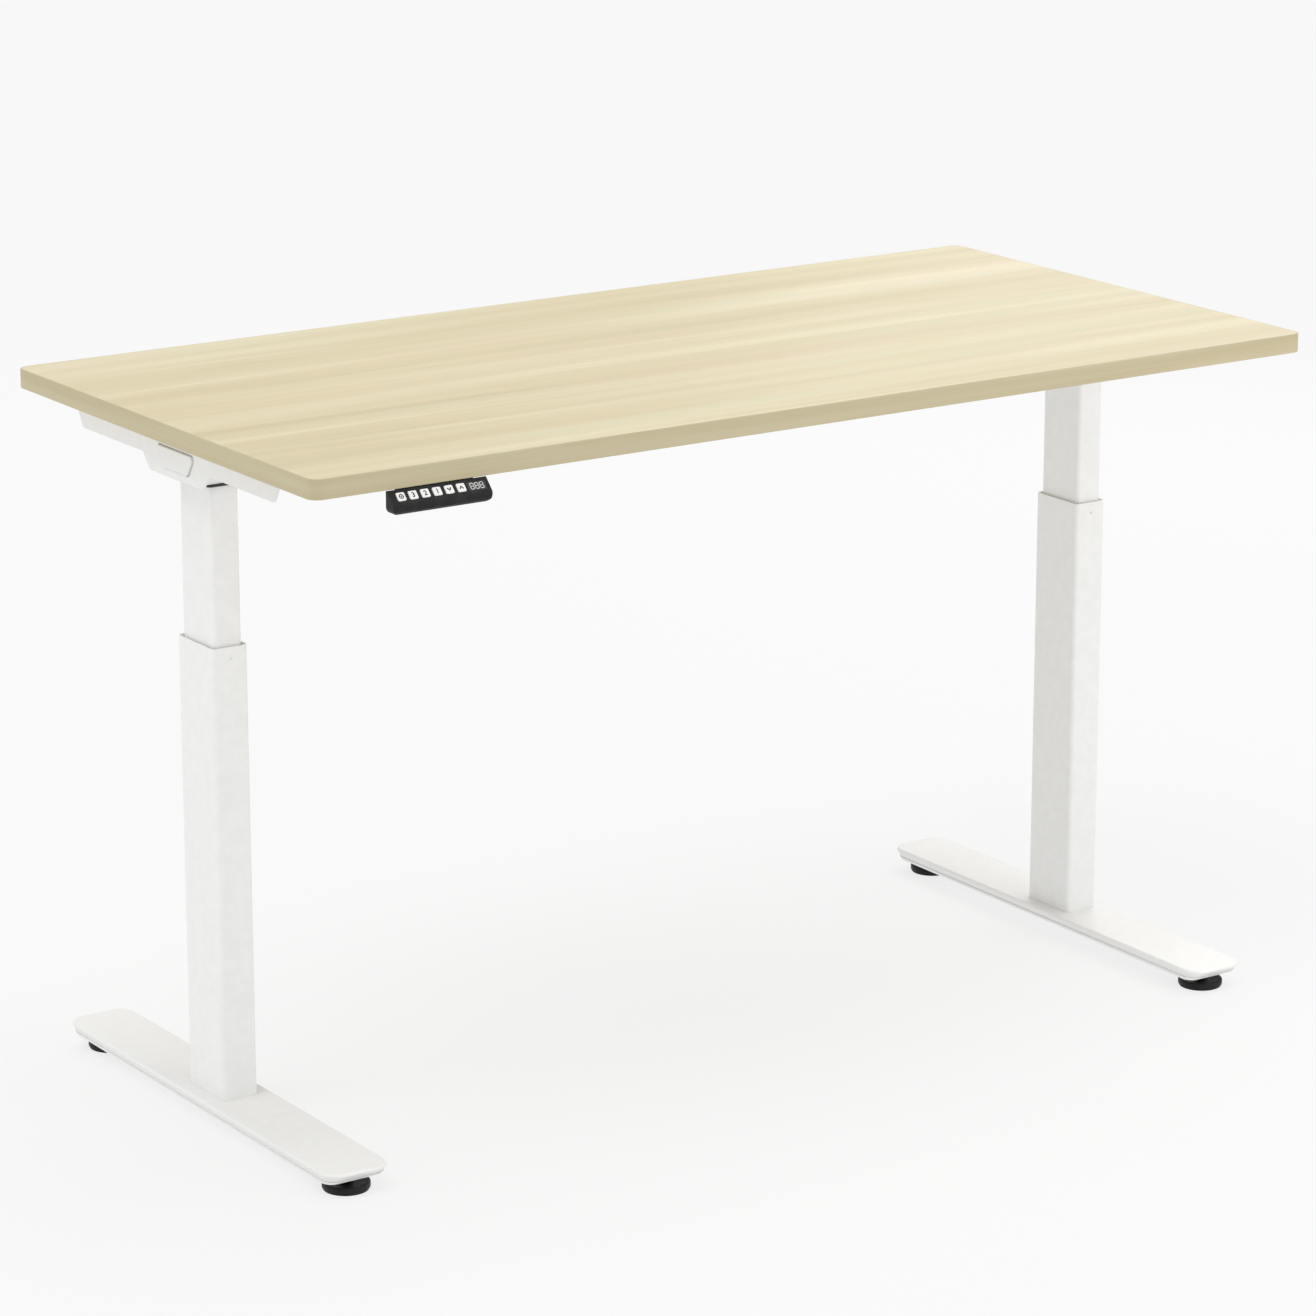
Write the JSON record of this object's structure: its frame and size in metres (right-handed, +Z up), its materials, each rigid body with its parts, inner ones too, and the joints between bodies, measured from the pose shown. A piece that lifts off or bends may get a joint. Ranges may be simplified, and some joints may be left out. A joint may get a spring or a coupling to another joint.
{
  "type": "height adjustable standing desk",
  "caption": "Rectangular wood-grain desktop on two telescoping electric lifting columns with flat feet, levelling pads and a front keypad.",
  "frame": {"origin": "middle of the overall footprint, on the floor", "axes": "+X along the desktop to the right of a seated user, +Y away from the user, +Z up; the keypad is at the front, -Y"},
  "size_m": [1.5, 0.764, 0.912],
  "materials": {
    "board_top": "matt laminate with a pale straight grain along X",
    "edge_band": "matt plastic edge banding in the grain colour",
    "white_steel": "satin white powder coat",
    "black_plastic": "fine textured black",
    "glide_plastic": "smooth light grey, low friction",
    "pad_plastic": "hard black plastic",
    "gear_case": "black painted die casting",
    "motor_can": "dark plated steel can",
    "steel": "bright turned steel",
    "zinc": "zinc plated fasteners",
    "bronze": "machined bronze",
    "nut_plastic": "natural acetal",
    "keypad_plastic": "soft satin black",
    "keypad_glass": "smoked window",
    "button_white": "satin white keys",
    "circuit_board": "solder mask"
  },
  "bodies": {
    "left_base": {"left_outer_tube": "white_steel", "left_foot": "white_steel", "left_upper_glide": "glide_plastic", "left_nut_tube": "steel", "left_spindle_nut": "nut_plastic", "left_leg_screws": "zinc"},
    "desk": {"desktop_board": "board_top", "edge_band": "edge_band", "left_side_arm": "white_steel", "left_trough": "white_steel", "left_inner_tube": "white_steel", "right_side_arm": "white_steel", "right_trough": "white_steel", "right_inner_tube": "white_steel", "middle_trough": "white_steel", "end_caps": "white_steel", "column_collars": "black_plastic", "control_box_cover": "black_plastic", "control_box_base": "black_plastic", "mains_inlet": "black_plastic", "lower_glides": "glide_plastic", "left_gearbox": "gear_case", "right_gearbox": "gear_case", "left_motor": "motor_can", "right_motor": "motor_can", "spindle_bearings": "steel", "top_screws": "zinc", "trough_bolts": "zinc", "arm_bolts": "zinc", "head_bolts": "zinc", "control_box_screws": "zinc", "keypad_screws": "zinc", "keypad_shell": "keypad_plastic", "keypad_plate": "keypad_plastic", "keypad_window": "keypad_glass", "control_board": "circuit_board", "keypad_board": "circuit_board"},
    "right_base": {"right_outer_tube": "white_steel", "right_foot": "white_steel", "right_upper_glide": "glide_plastic", "right_nut_tube": "steel", "right_spindle_nut": "nut_plastic", "right_leg_screws": "zinc"},
    "left_screw": {"left_spindle": "steel", "left_worm_wheel": "bronze"},
    "left_rotor": {"left_worm_shaft": "steel"},
    "left_front_foot_pad": {"left_front_pad": "pad_plastic"},
    "left_back_foot_pad": {"left_back_pad": "pad_plastic"},
    "right_screw": {"right_spindle": "steel", "right_worm_wheel": "bronze"},
    "right_rotor": {"right_worm_shaft": "steel"},
    "right_front_foot_pad": {"right_front_pad": "pad_plastic"},
    "right_back_foot_pad": {"right_back_pad": "pad_plastic"},
    "button_up_key": {"button_up": "button_white"},
    "button_down_key": {"button_down": "button_white"},
    "button_one_key": {"button_one": "button_white"},
    "button_two_key": {"button_two": "button_white"},
    "button_three_key": {"button_three": "button_white"},
    "button_save_key": {"button_save": "button_white"}
  },
  "joints": [
    {"name": "lift", "type": "slide", "parent": "left_base", "child": "desk", "axis": [0, 0, 1], "range_m": [-0.202, 0.278]},
    {"name": "right_lift", "type": "slide", "parent": "desk", "child": "right_base", "axis": [0, 0, -1], "range_m": [-0.202, 0.278]},
    {"name": "left_spindle_turn", "type": "hinge", "parent": "desk", "child": "left_screw", "pos_m": [-0.675, 0.017, 0.8], "axis": [0, 0, 1], "continuous": true},
    {"name": "left_motor_turn", "type": "hinge", "parent": "desk", "child": "left_rotor", "pos_m": [-0.675, 0.038, 0.858], "axis": [1, 0, 0], "continuous": true},
    {"name": "left_front_level", "type": "slide", "parent": "left_base", "child": "left_front_foot_pad", "axis": [0, 0, -1], "range_m": [-0.003, 0.005]},
    {"name": "left_back_level", "type": "slide", "parent": "left_base", "child": "left_back_foot_pad", "axis": [0, 0, -1], "range_m": [-0.003, 0.005]},
    {"name": "right_spindle_turn", "type": "hinge", "parent": "desk", "child": "right_screw", "pos_m": [0.675, 0.017, 0.8], "axis": [0, 0, 1], "continuous": true},
    {"name": "right_motor_turn", "type": "hinge", "parent": "desk", "child": "right_rotor", "pos_m": [0.675, 0.038, 0.858], "axis": [1, 0, 0], "continuous": true},
    {"name": "right_front_level", "type": "slide", "parent": "right_base", "child": "right_front_foot_pad", "axis": [0, 0, -1], "range_m": [-0.003, 0.005]},
    {"name": "right_back_level", "type": "slide", "parent": "right_base", "child": "right_back_foot_pad", "axis": [0, 0, -1], "range_m": [-0.003, 0.005]},
    {"name": "button_up_press", "type": "slide", "parent": "desk", "child": "button_up_key", "axis": [0, 0.7193, -0.6947], "range_m": [0, 0.001], "stiffness_N_per_m": 1500, "springref_m": -0.0004},
    {"name": "button_down_press", "type": "slide", "parent": "desk", "child": "button_down_key", "axis": [0, 0.7193, -0.6947], "range_m": [0, 0.001], "stiffness_N_per_m": 1500, "springref_m": -0.0004},
    {"name": "button_one_press", "type": "slide", "parent": "desk", "child": "button_one_key", "axis": [0, 0.7193, -0.6947], "range_m": [0, 0.001], "stiffness_N_per_m": 1500, "springref_m": -0.0004},
    {"name": "button_two_press", "type": "slide", "parent": "desk", "child": "button_two_key", "axis": [0, 0.7193, -0.6947], "range_m": [0, 0.001], "stiffness_N_per_m": 1500, "springref_m": -0.0004},
    {"name": "button_three_press", "type": "slide", "parent": "desk", "child": "button_three_key", "axis": [0, 0.7193, -0.6947], "range_m": [0, 0.001], "stiffness_N_per_m": 1500, "springref_m": -0.0004},
    {"name": "button_save_press", "type": "slide", "parent": "desk", "child": "button_save_key", "axis": [0, 0.7193, -0.6947], "range_m": [0, 0.001], "stiffness_N_per_m": 1500, "springref_m": -0.0004}
  ],
  "couplings": [
    {"joint": "right_lift", "follows": "lift", "ratio": 1},
    {"joint": "left_spindle_turn", "follows": "lift", "rad_per_m": 628.32},
    {"joint": "left_motor_turn", "follows": "lift", "rad_per_m": 5026.5},
    {"joint": "right_spindle_turn", "follows": "lift", "rad_per_m": 628.32},
    {"joint": "right_motor_turn", "follows": "lift", "rad_per_m": 5026.5}
  ]
}
